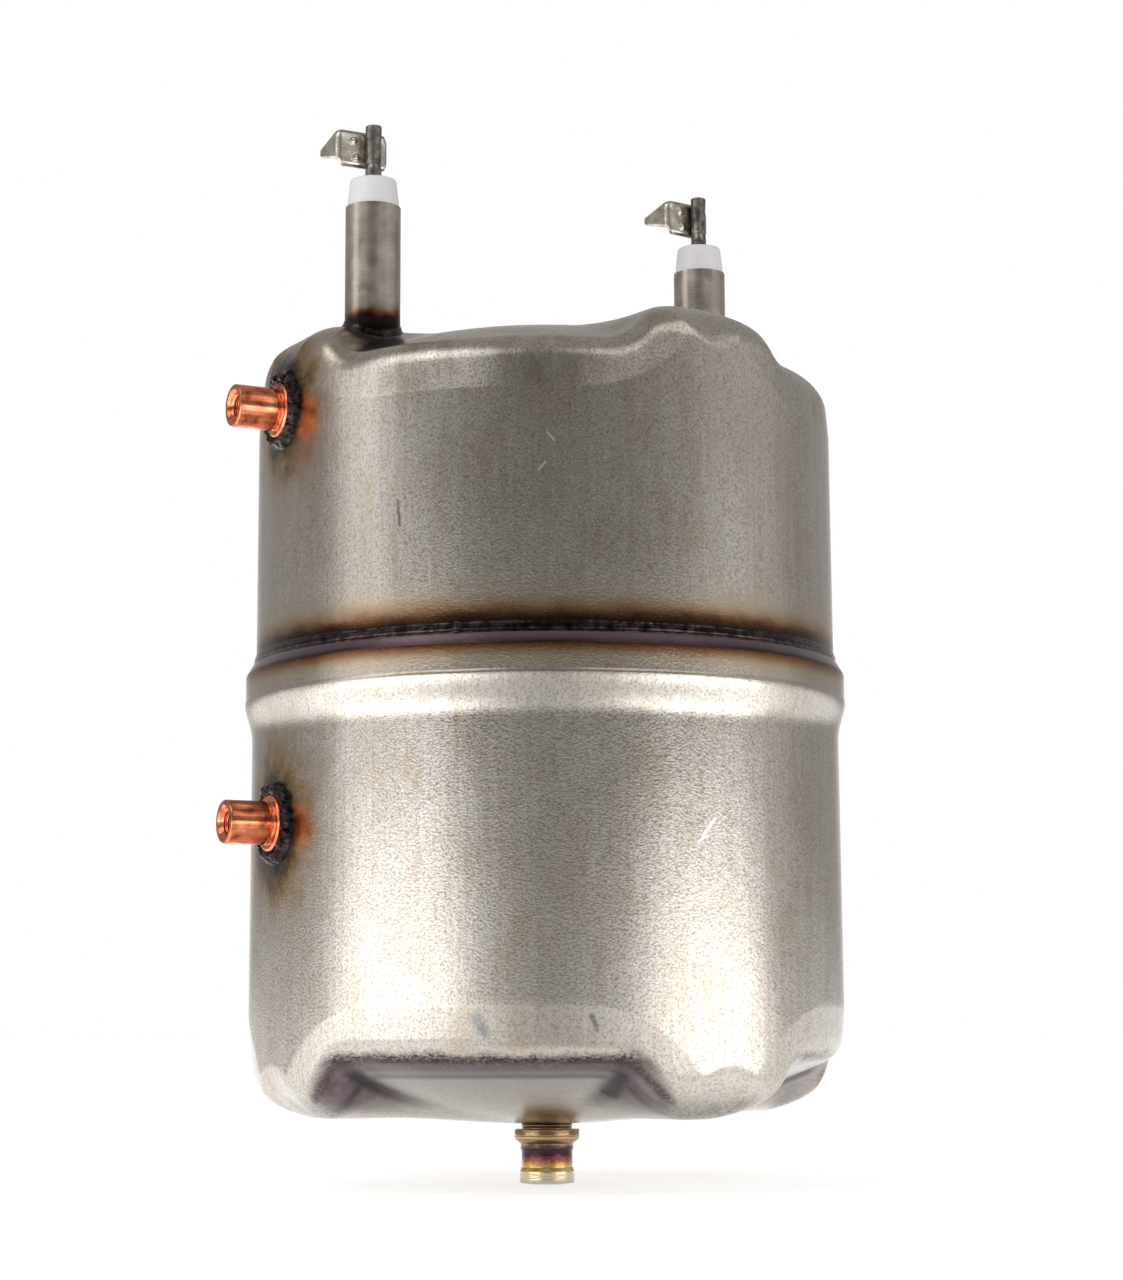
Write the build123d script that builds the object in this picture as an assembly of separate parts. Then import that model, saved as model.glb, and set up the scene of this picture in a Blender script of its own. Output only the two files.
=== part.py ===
from build123d import *
import math
import os

# Small stainless-steel water heater: two deep-drawn shells lapped and welded round the middle, a
# coiled tubular element whose two ends stand up out of the top, two threaded copper-coated studs
# on the side for sensors, a push-on water port underneath and a threaded outlet in the crown.
# Millimetres. +Z is up along the tank's axis, and the origin is the centre of the water port's
# end. The element's two ends stand on the X axis, on two of the four feet of the pressed top.

# Tank
wall = 1.5  # sheet thickness of both shells
upper_radius = 45.0  # outside of the upper shell
lower_growth = 0.5  # how much larger the lower shell's radius is, below its socket
tank_height = 119.2  # from the lower feet to the upper feet
lap_height = 68.4  # from the lower feet up to the socket's lip
lap_depth = 7.3  # straight length of the socket that takes the upper shell
joggle_height = 5.2  # height over which the lower shell widens into its socket
lap_gap = 0.05  # radial gap of the upper shell in the socket
seat_gap = 0.1  # the upper shell's rim stays this far above the end of the joggle
lip_chamfer = 0.7

# Pressed end, the same on both shells: a dished floor with four feet standing out of it
crown_radius = 105.0  # radius of the dished floor
upper_drop = 1.9  # the middle of the upper shell's floor stands this far past its feet
lower_drop = 1.1  # and the lower shell's
knuckle_radius = 3.0  # between the dished floor and the wall
band_height = 15.8  # above the feet, the wall leans in from here down to the knuckle
band_lean = 0.35
foot_half_width = 7.6  # of a foot's sole
foot_flank_run = 0.85  # sideways run of a foot's flank for each unit of height
foot_corner_radius = 9.0  # between a foot's sole and the wall
foot_line_turns = (-9.6, 87.4)  # the two lines on which opposite feet stand, from the X axis

# Girth weld
girth_bead = 1.7  # how far the bead climbs up the upper shell
girth_hollow = 0.12  # how far its face is hollowed

# Heating element
leg_inset = 12.0  # from the upper shell's wall in to the axis of each leg
sheath_radius = 4.25
sheath_wall = 0.6
sheath_stand_out = 18.3  # above the upper feet
coil_leg_gap = 2.5  # between the turns and the legs that pass them
coil_pitch = 12.0
coil_turns = 3  # whole turns, besides the part turn between the two legs
coil_clearance = 18.0  # from the lower feet up to the end of the lowest turn
leg_bend_radius = 13.0
cold_depth = 30.0  # how far the terminal pins reach below the upper feet
winding_radius = 1.7  # outside of the resistance winding
winding_bore = 1.1
packing_gap = 0.03  # between the insulation and what it holds
entry_bead_width = 0.7
entry_bead_height = 1.3
entry_bead_root = 4.5  # below the feet, down to where the shell cuts the bead off

# Terminals
pin_radius = 1.25
pin_stand_out = 8.7  # above the bush
pin_edge = 0.25
bush_height = 4.5  # above the sheath
bush_foot_radius = 4.0
bush_top_radius = 3.5
bush_edge = 0.7
bush_stem = 6.0  # inside the sheath
bush_gap = 0.05  # round the bush's stem and round the pin
seal_length = 3.0
tab_thickness = 0.8
tab_height = 5.7
tab_bush_gap = 2.2  # from the bush up to the tab's plate
tab_reach = 5.6  # from the pin's axis out to the outer face of the blade
tab_tail = 2.9  # from the pin's axis to the free end of the plate
tab_corner = 0.8
tab_bend_radius = 0.9  # outside of the bend
tab_pin_gap = 0.02
blade_length = 5.6  # behind the plate
blade_root = 4.3
blade_nose = 1.2
blade_corner = 0.5  # at the nose
blade_drop = 0.2  # from the plate's upper edge down to the blade's
left_tab_turn = -8.0  # degrees from the X axis to the plate
right_tab_turn = -0.5
nugget_radius = 0.65
nugget_height = 0.3
nugget_spacing = 2.6
nugget_offset = 2.6  # from the pin's axis

# Sensor studs
stud_azimuth = 180 + foot_line_turns[0]  # over a foot
upper_stud_height = 105.5  # above the lower feet
lower_stud_height = 43.0
stud_length = 8.0  # from the wall to the stud's end
stud_radius = 3.25
stud_flange_radius = 4.25
stud_flange_thickness = 1.1
stud_bore_radius = 1.65
stud_bore_depth = 6.2
stud_mouth_radius = 2.35
stud_edge = 0.3
stud_bead_radius = 5.9
stud_bead_height = 1.1
stud_bead_toe = 0.4  # the bead spreads this much more on its way down through the wall

# Water port under the tank
port_length = 8.9  # from the tank's floor to the port's end
port_bore_radius = 2.75
port_neck_radius = 3.75
port_neck_length = 0.9  # from the floor down to the collar
port_collar_radius = 5.0
port_collar_thickness = 1.4
port_collar_taper = 0.6
port_throat_radius = 4.05
port_throat_length = 1.1
port_waist_radius = 3.9
port_lip_radius = 4.15
port_lip_length = 1.9
port_inside = 2.5  # how far the neck reaches past the floor, into the tank
port_bead = 1.0  # width of the bead on the floor, and its height on the neck
port_bead_edge = 0.3  # height of its outer edge

# Threaded outlet in the crown
outlet_radius = 7.0
outlet_bore_radius = 4.46
outlet_mouth_radius = 5.1
outlet_stand_out = 1.2  # above the crown
outlet_inside = 6.0  # below the underside of the crown
outlet_bead = 0.8

weld_gap = 0.03  # between a piece and the hole that it is welded into
overcut = 1.0  # a form that cuts another reaches this far past it

feet_z = port_length + weld_gap + lower_drop
lip_z = feet_z + lap_height
socket_z = lip_z - lap_depth
joggle_z = socket_z - joggle_height
lower_radius = upper_radius + lower_growth
socket_radius = upper_radius + lap_gap
leg_radius = upper_radius - leg_inset
coil_radius = leg_radius - 2 * sheath_radius - coil_leg_gap
top_z = feet_z + tank_height
crown_z = top_z + upper_drop
sheath_top_z = top_z + sheath_stand_out
bush_top_z = sheath_top_z + bush_height
pin_top_z = bush_top_z + pin_stand_out
cold_end_z = top_z - cold_depth
sheath_bore = sheath_radius - sheath_wall
stem_low_z = sheath_top_z - bush_stem
seal_low_z = stem_low_z - seal_length
upper_rim_height = top_z - socket_z - seat_gap


def cylinder(radius, low, high, x=0.0, y=0.0):
    """A cylinder on a vertical axis, from one height to another."""
    return Pos(x, y, (low + high) / 2) * Cylinder(radius, high - low)


def ring(outer, inner, low, high, x=0.0, y=0.0):
    """A straight tube on a vertical axis."""
    return cylinder(outer, low, high, x, y) - cylinder(inner, low - overcut, high + overcut, x, y)


def turned(points):
    """The solid of revolution of a closed outline of (radius, height) points."""
    return revolve(Plane.XZ * make_face(Polyline(*points, close=True)), Axis.Z)


def dished_body(rim, inset, drop):
    """A plain dished cup, floor downwards, feet at height 0.

    The rim is the line of (radius, height) points that its wall follows above the band. An inset
    shrinks the floor, knuckle and band by a sheet thickness; the rim is given as it is. The drop
    is how far the middle of the floor stands past the feet.
    """
    floor_radius = crown_radius - inset
    knuckle = knuckle_radius - inset
    centre_z = crown_radius - drop
    wall_radius = rim[0][0] - band_lean
    across = wall_radius - knuckle
    knuckle_z = centre_z - math.sqrt((floor_radius - knuckle) ** 2 - across**2)
    floor_angle = math.asin(across / (floor_radius - knuckle))

    def on_floor(angle):
        return (floor_radius * math.sin(angle), centre_z - floor_radius * math.cos(angle))

    bend = (floor_angle - math.pi / 2) / 2
    knuckle_middle = (across + knuckle * math.cos(bend), knuckle_z + knuckle * math.sin(bend))
    floor = ThreePointArc(on_floor(0), on_floor(floor_angle / 2), on_floor(floor_angle))
    corner = ThreePointArc(on_floor(floor_angle), knuckle_middle, (wall_radius, knuckle_z))
    side = Polyline((wall_radius, knuckle_z), *rim, (0, rim[-1][1]), on_floor(0))
    return revolve(Plane.XZ * make_face([floor, corner, *side.edges()]), Axis.Z)


def feet_body(radius, inset, line_turns):
    """Two ribs crossed under the floor, cut to a round body with a rounded lower corner."""
    low_spread = foot_half_width - inset * math.hypot(1, foot_flank_run)
    high_spread = low_spread + foot_flank_run * band_height
    outline = Polyline(
        (-low_spread, 0),
        (low_spread, 0),
        (high_spread, band_height),
        (-high_spread, band_height),
        close=True,
    )
    rib = extrude(Plane.YZ * make_face(outline), radius + overcut, both=True)
    ribs = [Rot(0, 0, turn) * rib for turn in line_turns]
    soles = Pos(0, 0, (inset + band_height) / 2) * Cylinder(radius, band_height - inset)
    lower_edge = soles.edges().filter_by(GeomType.CIRCLE).sort_by(Axis.Z)[0]
    return fillet(lower_edge, foot_corner_radius - inset) & (ribs[0] + ribs[1])


def cup(rim, inset, drop, line_turns):
    """The form of a pressed cup, feet at height 0: its outside, or its inside with an inset."""
    return dished_body(rim, inset, drop) + feet_body(rim[0][0], inset, line_turns)


def shell(rim, inner_rim, drop, line_turns):
    """A pressed shell, feet downwards at height 0, with its outer form and its inner form."""
    outer = cup(rim, 0, drop, line_turns)
    inner = cup(inner_rim, wall, drop, line_turns)
    return outer - inner, outer, inner


def lower_forms():
    """The lower shell and its forms: it widens in a joggle to the socket at its open end."""
    socket_height = socket_z - feet_z
    joggle_from = joggle_z - feet_z
    outer_socket = socket_radius + wall
    bore = lower_radius - wall
    rim = [
        (lower_radius, band_height),
        (lower_radius, joggle_from),
        (outer_socket, socket_height),
        (outer_socket, lap_height - lip_chamfer),
        (outer_socket - lip_chamfer, lap_height),
    ]
    inner_rim = [
        (bore, band_height),
        (bore, joggle_from),
        (socket_radius, socket_height),
        (socket_radius, lap_height + overcut),
    ]
    forms = shell(rim, inner_rim, lower_drop, foot_line_turns)
    return [Pos(0, 0, feet_z) * form for form in forms]


def upper_forms():
    """The upper shell and its forms, turned over so that its feet are on top."""
    bore = upper_radius - wall
    rim = [(upper_radius, band_height), (upper_radius, upper_rim_height)]
    inner_rim = [(bore, band_height), (bore, upper_rim_height + overcut)]
    turned_over = Pos(0, 0, top_z) * Rot(180, 0, 0)
    line_turns = [-turn for turn in foot_line_turns]
    return [turned_over * form for form in shell(rim, inner_rim, upper_drop, line_turns)]


def girth_weld():
    """The bead in the corner between the socket's lip and the upper shell."""
    foot = (socket_radius + wall - lip_chamfer, lip_z)
    crest = (upper_radius, lip_z + girth_bead)
    slope = SagittaArc(foot, crest, girth_hollow)
    face = make_face([slope, *Polyline(crest, (crest[0], lip_z), foot).edges()])
    return revolve(Plane.XZ * face, Axis.Z)


def stud_place(height):
    """The frame of a sensor stud: its Z axis points straight out of the tank."""
    turn = math.radians(stud_azimuth)
    outward = (math.cos(turn), math.sin(turn), 0)
    return Plane(origin=(0, 0, height), x_dir=(0, 0, 1), z_dir=outward)


def sensor_stud(height, tank_radius, tank_form):
    """A threaded weld stud, its foot fitted to the tank's round wall."""
    end = tank_radius + stud_length
    flange_top = tank_radius + stud_flange_thickness
    deep = tank_radius - wall
    mouth_depth = stud_mouth_radius - stud_bore_radius
    body = turned(
        [
            (0, deep),
            (stud_flange_radius, deep),
            (stud_flange_radius, flange_top),
            (stud_radius, flange_top),
            (stud_radius, end - stud_edge),
            (stud_radius - stud_edge, end),
            (stud_mouth_radius, end),
            (stud_bore_radius, end - mouth_depth),
            (stud_bore_radius, end - stud_bore_depth),
            (0, end - stud_bore_depth),
        ]
    )
    return stud_place(height) * body - tank_form


def stud_weld(height, tank_radius, tank_form):
    """The bead that runs round a stud's flange, down on the tank's wall."""
    crest = (stud_flange_radius, tank_radius + stud_bead_height)
    inner_foot = (stud_flange_radius, tank_radius - wall)
    outer_foot = (stud_bead_radius + stud_bead_toe, tank_radius - wall)
    crown = ThreePointArc(crest, (stud_bead_radius, tank_radius), outer_foot)
    face = make_face([crown, *Polyline(outer_foot, inner_foot, crest).edges()])
    bead = revolve(Plane.XZ * face, Axis.Z)
    return stud_place(height) * bead - tank_form


def inlet_fitting():
    """The water port: a stepped spigot whose neck is welded into the floor."""
    floor_z = feet_z - lower_drop
    collar_top = port_length - port_neck_length
    collar_low = collar_top - port_collar_thickness
    throat_top = collar_low - port_collar_taper
    throat_low = throat_top - port_throat_length
    return turned(
        [
            (port_bore_radius, 0),
            (port_lip_radius, 0),
            (port_lip_radius, port_lip_length),
            (port_waist_radius, port_lip_length),
            (port_waist_radius, throat_low),
            (port_throat_radius, throat_low),
            (port_throat_radius, throat_top),
            (port_collar_radius, collar_low),
            (port_collar_radius, collar_top),
            (port_neck_radius, collar_top),
            (port_neck_radius, floor_z + wall + port_inside),
            (port_bore_radius, floor_z + wall + port_inside),
        ]
    )


def inlet_weld(tank_hollow):
    """The bead round the port's neck, on the inside of the floor."""
    floor_z = feet_z - lower_drop + wall
    bead = turned(
        [
            (port_neck_radius, floor_z - wall),
            (port_neck_radius + port_bead, floor_z - wall),
            (port_neck_radius + port_bead, floor_z + port_bead_edge),
            (port_neck_radius, floor_z + port_bead),
        ]
    )
    return bead & tank_hollow


def outlet_socket():
    """The threaded socket that stands through the middle of the crown."""
    low = crown_z - wall - outlet_inside
    high = crown_z + outlet_stand_out
    mouth_depth = outlet_mouth_radius - outlet_bore_radius
    return turned(
        [
            (outlet_bore_radius, low),
            (outlet_radius, low),
            (outlet_radius, high),
            (outlet_mouth_radius, high),
            (outlet_bore_radius, high - mouth_depth),
        ]
    )


def outlet_weld(tank_form):
    """The bead round the outlet, on top of the crown."""
    bead = turned(
        [
            (outlet_radius, crown_z - wall),
            (outlet_radius + outlet_bead, crown_z - wall),
            (outlet_radius + outlet_bead, crown_z),
            (outlet_radius, crown_z + outlet_bead),
        ]
    )
    return bead - tank_form


def element_path(leg_top):
    """The centreline of the element, from the top of its left leg to the top of its right one.

    Both legs stand outside the turns. The left one bends in to the top turn and the right one
    rises from the bottom turn, each along the line that touches the turns.
    """
    touch = math.acos(coil_radius / leg_radius)
    slope = math.atan2(coil_pitch, 2 * math.pi * coil_radius)
    run = math.sqrt(leg_radius**2 - coil_radius**2)
    sweep_angle = 2 * math.pi * coil_turns + math.pi - 2 * touch
    coil_height = coil_pitch * sweep_angle / (2 * math.pi)
    first = math.pi + touch
    last = first + sweep_angle
    coil_low = feet_z + coil_clearance
    coil_high = coil_low + coil_height
    bend = leg_bend_radius
    up = Vector(0, 0, 1)

    def around(angle, z):
        return Vector(coil_radius * math.cos(angle), coil_radius * math.sin(angle), z)

    def onward(angle):
        return Vector(-math.sin(angle), math.cos(angle), 0)

    def bent(leg, way, run_end_z, turn):
        """The lower end, middle and top of a leg's bend; way points from the leg inwards."""
        top_z = run_end_z + bend * math.sin(turn)
        centre = Vector(leg, 0, top_z) + way * bend

        def on_bend(angle):
            return centre - way * (bend * math.cos(angle)) - up * (bend * math.sin(angle))

        return on_bend(turn), on_bend(turn / 2), on_bend(0)

    start, end = around(first, coil_high), around(last, coil_low)
    way_in, way_out = onward(first), onward(last)
    in_run = run - bend * (1 - math.sin(slope))
    out_run = run - bend * (1 + math.sin(slope))
    in_z = coil_high + in_run * math.tan(slope)
    out_z = coil_low - out_run * math.tan(slope)
    in_low, in_middle, in_top = bent(-leg_radius, way_in, in_z, math.pi / 2 - slope)
    out_low, out_middle, out_top = bent(leg_radius, way_out * -1, out_z, math.pi / 2 + slope)

    helix = Helix(coil_pitch, coil_height, coil_radius, lefthand=True)
    turns = Pos(0, 0, coil_high) * Rot(180, 0, -math.degrees(first)) * helix
    return Wire(
        [
            Edge.make_line(Vector(-leg_radius, 0, leg_top), in_top),
            Edge.make_three_point_arc(in_top, in_middle, in_low),
            Edge.make_line(in_low, start),
            turns.edge(),
            Edge.make_line(end, out_low),
            Edge.make_three_point_arc(out_low, out_middle, out_top),
            Edge.make_line(out_top, Vector(leg_radius, 0, leg_top)),
        ]
    )


def element_rod(radius, leg_top):
    """A round rod along the element, its two ends level at the given height."""
    path = element_path(leg_top)
    return sweep(Plane(origin=path @ 0, z_dir=path % 0) * Circle(radius), path=path, is_frenet=True)


def least_gap(path, radius, spacing=1.0):
    """The least gap of a rod to itself, between points further apart along it than its girth."""
    steps = math.ceil(path.length / spacing)
    points = [tuple(path @ (step / steps)) for step in range(steps + 1)]
    girth_steps = math.ceil(2 * math.pi * radius / spacing)
    least = min(
        math.dist(point, other)
        for index, point in enumerate(points)
        for other in points[index + girth_steps :]
    )
    return least - 2 * radius


def on_both_legs(piece):
    """A piece that stands on the tank's axis, copied to both legs: left one first."""
    return Pos(-leg_radius, 0, 0) * piece, Pos(leg_radius, 0, 0) * piece


def element_sheath():
    return element_rod(sheath_radius, sheath_top_z) - element_rod(sheath_bore, sheath_top_z + overcut)


def resistance_winding():
    """The round envelope of the resistance wire's fine turns, from pin to pin."""
    return element_rod(winding_radius, cold_end_z) - element_rod(winding_bore, cold_end_z + overcut)


def element_insulation():
    """The packed powder that fills the sheath round the winding and the pins."""
    body = element_rod(sheath_bore - packing_gap, seal_low_z)
    body -= element_rod(winding_radius + packing_gap, cold_end_z + packing_gap)
    pin_hole = cylinder(pin_radius + packing_gap, cold_end_z, seal_low_z + overcut)
    for hole in on_both_legs(pin_hole):
        body -= hole
    return body


def terminal_pin():
    pin = cylinder(pin_radius, cold_end_z, pin_top_z)
    return fillet(pin.edges().sort_by(Axis.Z)[-1], pin_edge)


def end_seal():
    return ring(sheath_bore - bush_gap, pin_radius + bush_gap, seal_low_z, stem_low_z)


def ceramic_bush():
    """A tapered collar on the sheath's end with a stem inside it, bored for the pin."""
    body = turned(
        [
            (0, stem_low_z),
            (sheath_bore - bush_gap, stem_low_z),
            (sheath_bore - bush_gap, sheath_top_z),
            (bush_foot_radius, sheath_top_z),
            (bush_top_radius, bush_top_z),
            (0, bush_top_z),
        ]
    )
    body = fillet(body.edges().sort_by(Axis.Z)[-1], bush_edge)
    return body - cylinder(pin_radius + bush_gap, stem_low_z - overcut, bush_top_z + overcut)


def tab_terminal():
    """A plate welded behind the pin, bent back at one end into a tapered push-on blade.

    Drawn with the pin on the Z axis: the plate runs along X and the blade points along +Y.
    """
    front = pin_radius + tab_pin_gap
    back = front + tab_thickness
    low = bush_top_z + tab_bush_gap
    high = low + tab_height
    tip = back + blade_length
    plan = Polyline(
        (tab_tail, front),
        (-tab_reach, front),
        (-tab_reach, tip),
        (-tab_reach + tab_thickness, tip),
        (-tab_reach + tab_thickness, back),
        (tab_tail, back),
        close=True,
    )
    strip = Pos(0, 0, low) * extrude(make_face(plan), tab_height)
    bend = strip.edges().filter_by(Axis.Z).sort_by(Axis.X)[:2].sort_by(Axis.Y)[0]
    strip = fillet(bend, tab_bend_radius)
    plate = Pos((tab_tail - tab_reach) / 2, (front + back) / 2, (low + high) / 2) * Box(
        tab_tail + tab_reach, tab_thickness, tab_height
    )
    plate = fillet(plate.edges().filter_by(Axis.Y), tab_corner)
    blade_high = high - blade_drop
    taper = (blade_root - blade_nose) / 2
    side = Polyline(
        (back, blade_high),
        (tip, blade_high - taper),
        (tip, blade_high - taper - blade_nose),
        (back, blade_high - blade_root),
        (front, blade_high - blade_root),
        (front, blade_high),
        close=True,
    )
    corners = make_face(side).vertices().sort_by(Axis.X)[-2:]
    blade = extrude(Plane.YZ * fillet(corners, blade_corner), -tab_reach - overcut)
    return strip & (plate + blade)


def tab_nuggets():
    """Two raised weld spots on the front of the plate, one above the other beside the pin."""
    middle = bush_top_z + tab_bush_gap + tab_height / 2
    front = pin_radius + tab_pin_gap
    dome_radius = (nugget_radius**2 + nugget_height**2) / (2 * nugget_height)
    keep = Pos(-nugget_offset, front - nugget_height, middle) * Box(
        4 * nugget_radius, 2 * nugget_height, 2 * nugget_spacing
    )
    spots = []
    for side in (-1, 1):
        centre = Pos(
            -nugget_offset, front - nugget_height + dome_radius, middle + side * nugget_spacing / 2
        )
        spots.append(centre * Sphere(dome_radius) & keep)
    return Compound(children=[spot.solid() for spot in spots])


def entry_weld():
    """The bead round a leg of the element, on its Z axis, before it is fitted to its foot."""
    low = top_z - entry_bead_root
    return turned(
        [
            (sheath_radius, low),
            (sheath_radius + entry_bead_width, low),
            (sheath_radius + entry_bead_width, top_z),
            (sheath_radius, top_z + entry_bead_height),
        ]
    )


def build_tank():
    lower, lower_outside, lower_hollow = lower_forms()
    upper, upper_outside, _ = upper_forms()
    lower -= cylinder(port_neck_radius + weld_gap, 0, feet_z + wall)
    upper -= cylinder(outlet_radius + weld_gap, top_z - outlet_inside, crown_z + overcut)
    for hole in on_both_legs(cylinder(sheath_radius + weld_gap, socket_z, top_z + overcut)):
        upper -= hole
    nodes = {
        "lower_shell": lower,
        "upper_shell": upper,
        "girth_weld": girth_weld(),
        "inlet_fitting": inlet_fitting(),
        "inlet_weld": inlet_weld(lower_hollow),
        "outlet_socket": outlet_socket(),
        "outlet_weld": outlet_weld(upper_outside),
    }
    for side, bead in zip(("left", "right"), on_both_legs(entry_weld())):
        nodes[side + "_entry_weld"] = bead - upper_outside
    places = {
        "upper": (feet_z + upper_stud_height, upper_radius, upper_outside),
        "lower": (feet_z + lower_stud_height, lower_radius, lower_outside),
    }
    for side, place in places.items():
        nodes[side + "_sensor_stud"] = sensor_stud(*place)
        nodes[side + "_stud_weld"] = stud_weld(*place)
    return nodes


def build_element():
    nodes = {
        "element_sheath": element_sheath(),
        "element_insulation": element_insulation(),
        "resistance_winding": resistance_winding(),
    }
    pieces = {
        "terminal_pin": terminal_pin(),
        "end_seal": end_seal(),
        "ceramic_bush": ceramic_bush(),
    }
    for name, piece in pieces.items():
        nodes["left_" + name], nodes["right_" + name] = on_both_legs(piece)
    for side, leg, turn in (("left", -leg_radius, left_tab_turn), ("right", leg_radius, right_tab_turn)):
        place = Pos(leg, 0, 0) * Rot(0, 0, turn)
        nodes[side + "_tab_terminal"] = place * tab_terminal()
        nodes[side + "_tab_welds"] = place * tab_nuggets()
    return nodes


os.makedirs("parts", exist_ok=True)
for name, solid in {**build_tank(), **build_element()}.items():
    export_step(solid, f"parts/{name}.step")

sheath_path = element_path(sheath_top_z)
print("element length", round(sheath_path.length, 1), "mm")
print("least gap to itself", round(least_gap(sheath_path, sheath_radius), 2), "mm")
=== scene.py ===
import math

import bpy
import numpy as np
from mathutils import Euler, Matrix, Vector, noise


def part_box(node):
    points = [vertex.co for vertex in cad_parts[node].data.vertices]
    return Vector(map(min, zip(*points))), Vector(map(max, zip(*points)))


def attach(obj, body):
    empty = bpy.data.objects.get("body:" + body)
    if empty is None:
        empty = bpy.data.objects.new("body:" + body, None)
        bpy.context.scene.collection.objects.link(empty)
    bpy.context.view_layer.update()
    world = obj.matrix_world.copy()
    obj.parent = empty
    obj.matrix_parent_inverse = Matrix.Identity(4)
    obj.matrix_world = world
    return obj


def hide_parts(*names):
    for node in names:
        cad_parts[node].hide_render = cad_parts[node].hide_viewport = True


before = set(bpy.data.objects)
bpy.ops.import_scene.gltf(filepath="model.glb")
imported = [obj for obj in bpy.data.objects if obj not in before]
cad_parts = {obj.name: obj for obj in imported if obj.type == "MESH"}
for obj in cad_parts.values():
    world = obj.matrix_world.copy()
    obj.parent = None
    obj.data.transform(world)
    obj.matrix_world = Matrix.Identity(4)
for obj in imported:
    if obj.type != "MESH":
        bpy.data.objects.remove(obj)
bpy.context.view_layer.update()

# Lengths are in millimetres in the solid model's frame. Each mesh is scaled to metres when made.
MM = 0.001


def top_of(node):
    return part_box(node)[1].z / MM


def bottom_of(node):
    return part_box(node)[0].z / MM


# Tank, as in the solid model
WALL = 1.5
CROWN_RADIUS = 105.0
UPPER_DROP = 1.9
LOWER_DROP = 1.1
KNUCKLE_RADIUS = 2.2
BAND_HEIGHT = 15.8
BAND_WIDTH = 6.1  # of the margin round each recess that leans in towards it
BAND_LEAN = 0.55
BAND_CORNER = 7.0
FOOT_HALF_WIDTH = 7.6
FOOT_FRONT_EASE = 2.5  # how far from a foot's middle its width is eased
FOOT_FRONT_SHIFT = 0.4  # what the easing adds at the flanks, taken off again
FOOT_FLANK_RUN = 0.85
FOOT_CORNER_RADIUS = 9.0
FOOT_CORNER_FADE = 9.0  # from a foot's sole to where the wall's corner is the knuckle's again
FOOT_SOLE_RADIUS = 4.0
FOOT_ROOT_BLEND = 2.4
FOOT_LINE_TURNS = (-9.6, 87.4)
LIP_SLOPE = 1.7
SHOULDER_HEIGHT = 5.8  # below the lip, where the socket starts to draw in
SHOULDER_SWELL = 0.12
JOGGLE_END = 12.5  # below the lip, where the wall is straight again
JOGGLE_POWER = 1.6  # moves the bend towards the shoulder
SHELL_AROUND = 720  # points round a shell

LOWER_RADIUS = 45.5
UPPER_RADIUS = 45.0
SOCKET_RADIUS = 46.55
FEET_Z = bottom_of("lower_shell") + LOWER_DROP
LIP_Z = top_of("lower_shell")
TOP_Z = top_of("upper_shell") - UPPER_DROP
UPPER_RIM_Z = bottom_of("upper_shell")
OUTLET_RADIUS = 7.0
OUTLET_HOLE = 7.05
INLET_HOLE = 3.8
BEAD_TOP_Z = top_of("girth_weld")

LEG_RADIUS = 33.0
SHEATH_RADIUS = 4.25
SHEATH_TOP_Z = top_of("element_sheath")
BUSH_TOP_Z = top_of("left_ceramic_bush")
PIN_TOP_Z = top_of("left_terminal_pin")
PIN_RADIUS = 1.25

STUD_AZIMUTH = math.radians(180 + FOOT_LINE_TURNS[0])
STUD_HEIGHTS = {"upper": FEET_Z + 105.5, "lower": FEET_Z + 43.0}
WALL_RADII = {"upper": UPPER_RADIUS, "lower": LOWER_RADIUS}
STUD_LENGTH = 8.0

VIEW_TURN = math.radians(-37.6)  # the photo's viewing direction, from the +Y direction


def eased(t):
    return t * t * (3 - 2 * t)


def bumpy(x, y, z, size, seed=0.0):
    """Smooth noise from -1 to 1 whose lumps are about as wide as size."""
    return noise.noise(Vector((x / size + seed, y / size - seed, z / size + 2 * seed)))


def grid_object(name, rows, material, node, close_rows=False):
    """A mesh that replaces a CAD node, from rows of points.

    Each row is a closed ring, and the last row can join the first one as well.
    """
    rows = np.asarray(rows, float)
    count, around = rows.shape[:2]
    index = np.arange(count * around).reshape(count, around)
    below = index if close_rows else index[:-1]
    above = np.roll(index, -1, axis=0) if close_rows else index[1:]
    faces = np.stack(
        [below, np.roll(below, -1, axis=1), np.roll(above, -1, axis=1), above], axis=-1
    ).reshape(-1, 4)
    mesh = bpy.data.meshes.new(name)
    mesh.vertices.add(count * around)
    mesh.vertices.foreach_set("co", (rows.reshape(-1, 3) * MM).ravel())
    mesh.loops.add(faces.size)
    mesh.loops.foreach_set("vertex_index", faces.ravel())
    mesh.polygons.add(len(faces))
    mesh.polygons.foreach_set("loop_start", np.arange(len(faces)) * 4)
    mesh.update(calc_edges=True)
    mesh.validate()
    mesh.polygons.foreach_set("use_smooth", np.ones(len(mesh.polygons), bool))
    piece = bpy.data.objects.new(name, mesh)
    bpy.context.scene.collection.objects.link(piece)
    mesh.materials.append(material)
    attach(piece, "root")
    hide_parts(node)


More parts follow.
